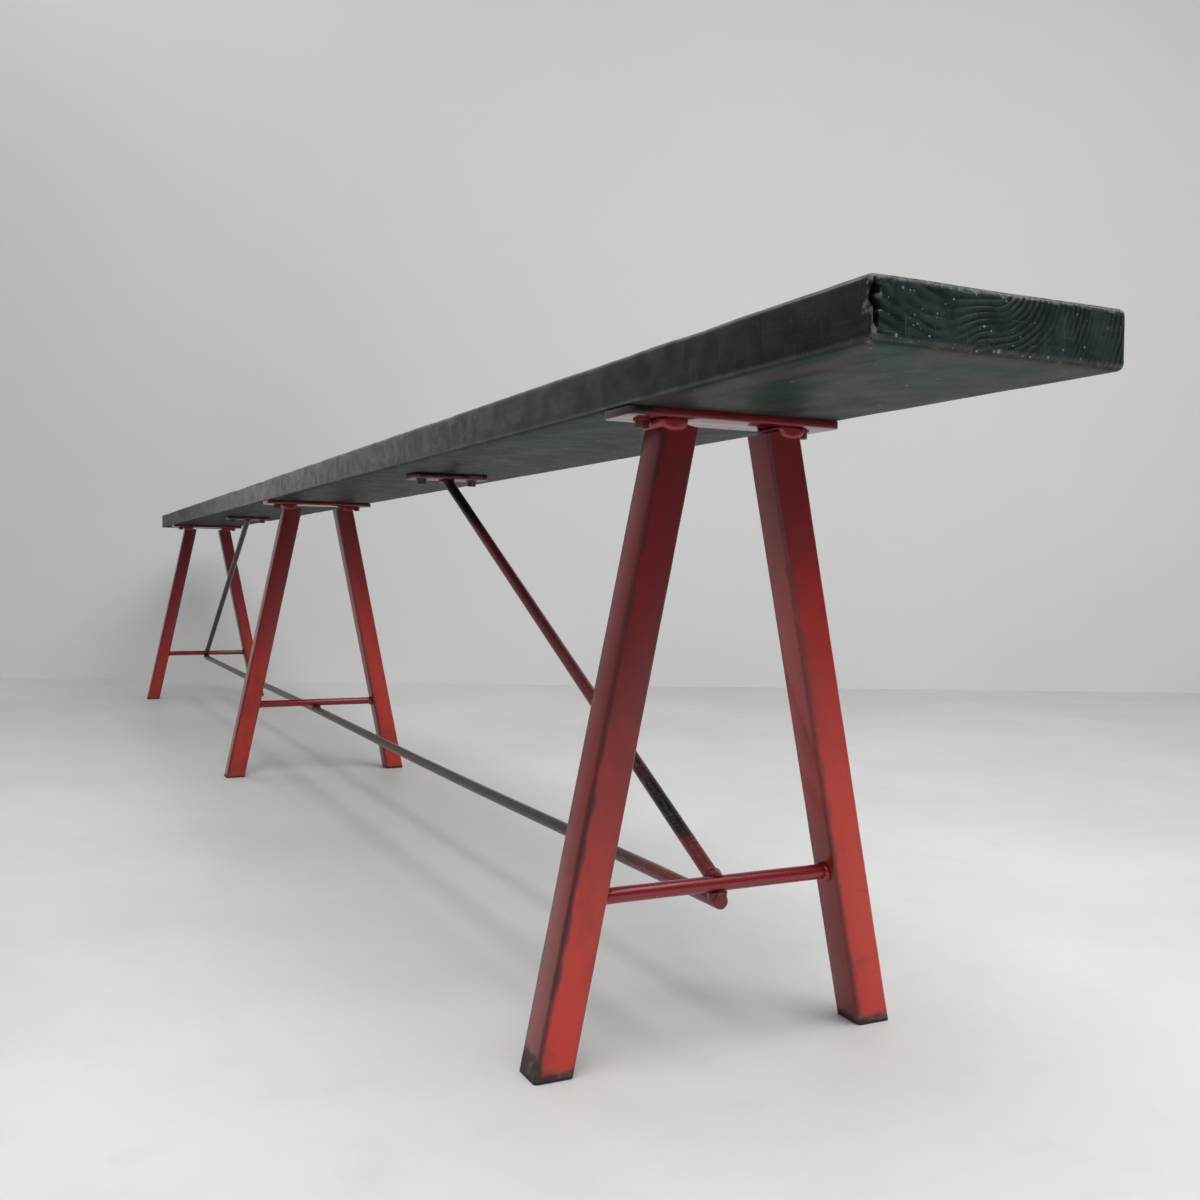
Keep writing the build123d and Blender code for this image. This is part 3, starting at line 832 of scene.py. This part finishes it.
def make_weld(node, material, grain, swell, passes, shape=None):
    """A weld melted into soft lumps from a rough shape, or from its CAD node."""
    bm = shape or node_shape(node)
    rough = bpy.data.meshes.new("weld_rough")
    bm.to_mesh(rough)
    bm.free()
    carrier = bpy.data.objects.new("weld_carrier", rough)
    bpy.context.scene.collection.objects.link(carrier)
    remesh = carrier.modifiers.new("melt", "REMESH")
    remesh.mode = "VOXEL"
    remesh.voxel_size = grain
    evaluated = carrier.evaluated_get(bpy.context.evaluated_depsgraph_get())
    melted = bpy.data.meshes.new_from_object(evaluated)
    bpy.data.objects.remove(carrier)
    bm = bmesh.new()
    bm.from_mesh(melted)
    for _ in range(passes):
        bmesh.ops.smooth_vert(bm, verts=bm.verts, factor=0.5, use_axis_x=True, use_axis_y=True,
                              use_axis_z=True)
    bm.normal_update()
    for v in bm.verts:
        lump = wander(v.co, 260, 7.0) * 0.7 + wander(v.co, 700, 2.0) * 0.15
        v.co += v.normal * (lump * 0.7 + swell) * MM
    weld = add_piece(bm, node.replace("welds", "weld_beads"), material, smooth_angle=70)
    stand_for(node)


# ---------------------------------------------------------------- putting the bench together

def brace_red(s, at):
    """Black-brown at the top, wine red in the middle, darkened lower down, red again at the foot."""
    top = s.remap(at["Z"], 0.37, 0.31)
    middle = s.remap(at["Z"], 0.14, 0.24, 0.35, 1.1)
    foot = s.remap(at["Z"], 0.135, 0.115)
    return s.times(top, s.larger(middle, foot))


def stretcher_red(s, at):
    """Red only towards its near end."""
    return s.minus(s.remap(at["X"], 0.93, 1.1), 0.1)


def hardly_red(s, at):
    """Hardly any red left, except at the foot."""
    return s.plus(s.remap(at["Z"], 0.15, 0.11, 0.0, 0.7), 0.08)


def red_below_painted_shadow(s, at):
    """Dark at the top, painted shadow under the plank over dark paint; redder face below."""
    return s.plus(0.25, s.remap(at["Z"], 0.3935, 0.3915, 0.0, 0.5))


def make_bench():
    """All the steel: finishes first, then each trestle, the braces and the stretcher."""
    plate_reds = ((128, 22, 28), (108, 16, 24))
    plates = red_enamel("red enamel on the top plates", *plate_reds, 0.14, 0.3)
    near_plate = red_enamel("red enamel on the near top plate", *plate_reds, 0.14, 0.3, dark_left_end=True)
    rods = red_enamel("red enamel on the crossbars", (150, 28, 40), (116, 20, 34), 0.18, 0.4)
    beads = red_enamel("red enamel on the welds", (150, 26, 36), (138, 28, 44), 0.32, 0.4)
    dark_beads = red_enamel("darkened red on the bar welds", (112, 22, 28), (104, 20, 30), 0.22, 0.5)
    # Each leg's painted shade: the heights where its red turns crimson, and the colour of the painted shade
    # on its left faces
    leg_paint = {
        ("left", "near"): red_enamel("red enamel, near left leg", tube=True, foot=6 * MM, foot_side=9 * MM,
                                     crimson_shade_heights=(0.03, 0.26), corner_dirt=0.85),
        ("right", "near"): red_enamel("red enamel, near right leg", tube=True, foot=5.5 * MM,
                                      crimson_shade_heights=(0.13, 0.37), dust=(90, 22, 30)),
        ("right", "middle"): red_enamel("red enamel, middle right leg", (192, 46, 30), tube=True, foot=3 * MM,
                                        crimson_shade_heights=(0.10, 0.37), dust=(62, 20, 30)),
        ("left", "far"): red_enamel("red enamel, far left leg", (168, 36, 32), (112, 16, 34), tube=True,
                                    foot=3 * MM),
    }
    other_legs = red_enamel("red enamel, other legs", (188, 44, 30), tube=True, foot=3 * MM)
    brace_near = handled_bar("darkened red on the near brace", (26, 16, 18), (122, 32, 46), brace_red)
    brace_far = handled_bar("dark brown on the far brace", (44, 34, 37), (96, 24, 28), hardly_red)
    stretcher = handled_bar("rubbed brown steel on the stretcher", (70, 58, 54), (120, 28, 32), stretcher_red,
                            (118, 106, 100), 0.3)
    # The brace plates' dark top is painted shadow under the plank over dark paint
    brace_plate = handled_bar("dark paint and painted shadow on the brace plates", (18, 16, 16), (88, 24, 28), red_below_painted_shadow)
    red_screws = screw_steel("painted screw heads", (92, 14, 24), 0.8)
    plain_screws = screw_steel("dull screw heads", (64, 18, 22), 0.5)
    plugs = foot_plastic()
    for number, trestle in enumerate(TRESTLES):
        plate = near_plate if trestle == "near" else plates
        make_flat_bar(f"top_plate_{trestle}", f"flat_bar_{trestle}", plate)
        make_screws(f"plate_screws_{trestle}", f"hex_screws_{trestle}", red_screws,
                    (0.2 + number, 0.75 + 0.6 * number))
        for side in SIDES:
            make_leg(side, trestle, leg_paint.get((side, trestle), other_legs))
            make_foot_plug(side, trestle, plugs)
        make_crossbar(trestle, rods)
        make_weld(f"leg_welds_{trestle}", beads, 0.8 * MM, 0.5, 12, leg_weld_shape(trestle))
        make_weld(f"crossbar_welds_{trestle}", rods, 0.6 * MM, 0.0, 6)
    for number, (end, material) in enumerate((("near", brace_near), ("far", brace_far))):
        make_flat_bar(f"brace_plate_{end}", f"flat_brace_bar_{end}", brace_plate)
        make_screws(f"brace_screws_{end}", f"hex_brace_screws_{end}", plain_screws,
                    (0.5 + number, 0.1 + number))
        make_brace(end, material)
        make_weld(f"brace_welds_{end}", dark_beads, 0.5 * MM, -0.45, 5)
    make_stretcher(stretcher)
    make_weld("stretcher_welds", dark_beads, 0.5 * MM, -0.25, 5)


# ---------------------------------------------------------------- floor, light and camera

CAMERA_AT = Vector((1.782271, -0.398776, 0.296318))
CAMERA_YAW = math.radians(25.741)
CAMERA_PITCH = math.radians(-1.259)
CAMERA_ROLL = math.radians(0.708)
CAMERA_LENS = 36.4225
WALL_DISTANCE = 3.2
STAGE_HALF_WIDTH = 14.0


def camera_axes():
    """The camera's right, up and forward directions."""
    forward = Vector((-math.cos(CAMERA_YAW) * math.cos(CAMERA_PITCH),
                      math.sin(CAMERA_YAW) * math.cos(CAMERA_PITCH),
                      math.sin(CAMERA_PITCH)))
    right = forward.cross(Vector((0, 0, 1))).normalized()
    up = right.cross(forward)
    turned_right = math.cos(CAMERA_ROLL) * right + math.sin(CAMERA_ROLL) * up
    turned_up = -math.sin(CAMERA_ROLL) * right + math.cos(CAMERA_ROLL) * up
    return turned_right, turned_up, forward


def make_camera():
    """A low camera near the bench's near end, looking along it."""
    right, up, forward = camera_axes()
    data = bpy.data.cameras.new("camera")
    data.sensor_width = 36.0
    data.lens = CAMERA_LENS
    data.clip_start = 0.02
    camera = bpy.data.objects.new("camera", data)
    bpy.context.scene.collection.objects.link(camera)
    turn = Matrix((right, up, -forward)).transposed().to_4x4()
    camera.matrix_world = Matrix.Translation(CAMERA_AT) @ turn
    bpy.context.scene.camera = camera


def make_stage():
    """A wide floor and a backdrop square to the view."""
    forward = Vector((-math.cos(CAMERA_YAW), math.sin(CAMERA_YAW), 0))
    up = Vector((0, 0, 1))
    centre = CAMERA_AT + forward * WALL_DISTANCE
    centre.z = 0
    upright = Matrix((forward.cross(up), up, -forward)).transposed().to_4x4()
    for name, material, matrix in (
        ("floor", pale_floor(), Matrix.Identity(4)),
        ("backdrop", pale_wall(), Matrix.Translation(centre) @ upright),
    ):
        bm = bmesh.new()
        bmesh.ops.create_grid(bm, x_segments=1, y_segments=1, size=STAGE_HALF_WIDTH)
        bmesh.ops.transform(bm, matrix=matrix, verts=bm.verts)
        new_object(bm, name, material)


def make_light(name, place, aim, size, power):
    """A soft rectangular light."""
    data = bpy.data.lights.new(name, "AREA")
    data.shape = "RECTANGLE"
    data.size, data.size_y = size
    data.energy = power
    light = bpy.data.objects.new(name, data)
    light.location = place
    light.rotation_mode = "QUATERNION"
    light.rotation_quaternion = (Vector(aim) - Vector(place)).to_track_quat("-Z", "Y")
    bpy.context.scene.collection.objects.link(light)


def make_lights():
    """A bright room to the left and above, a dim one behind the camera, and a large ceiling light."""
    world = bpy.data.worlds.new("soft room")
    bpy.context.scene.world = world
    world.use_nodes = True
    s = Shading(world.node_tree)
    background = world.node_tree.nodes["Background"].inputs
    direction = s.split(s.node("ShaderNodeTexCoord").outputs["Generated"])
    dim_side = s.remap(s.plus(direction["X"], s.times(direction["Y"], 0.35)), -0.3, 0.75)
    s.feed(background["Color"], s.mix(dim_side, (0.36, 0.37, 0.37, 1), (0.10, 0.10, 0.102, 1)))
    background["Strength"].default_value = 1.0
    make_light("ceiling", (2.2, 0.1, 2.7), (1.9, 0.1, 0), (2.8, 2.6), 106)
    make_light("right ceiling", (1.6, 2.3, 2.7), (1.4, 0.4, 0.4), (0.7, 0.5), 5)
    make_light("far ceiling", (-1.2, -0.6, 2.7), (-1.2, -0.4, 0), (1.2, 1.2), 9)
    view = bpy.context.scene.view_settings
    view.view_transform = "Standard"
    view.look = "None"


make_camera()
make_stage()
make_lights()
make_plank(painted_timber())
make_bench()

bpy.context.view_layer.update()
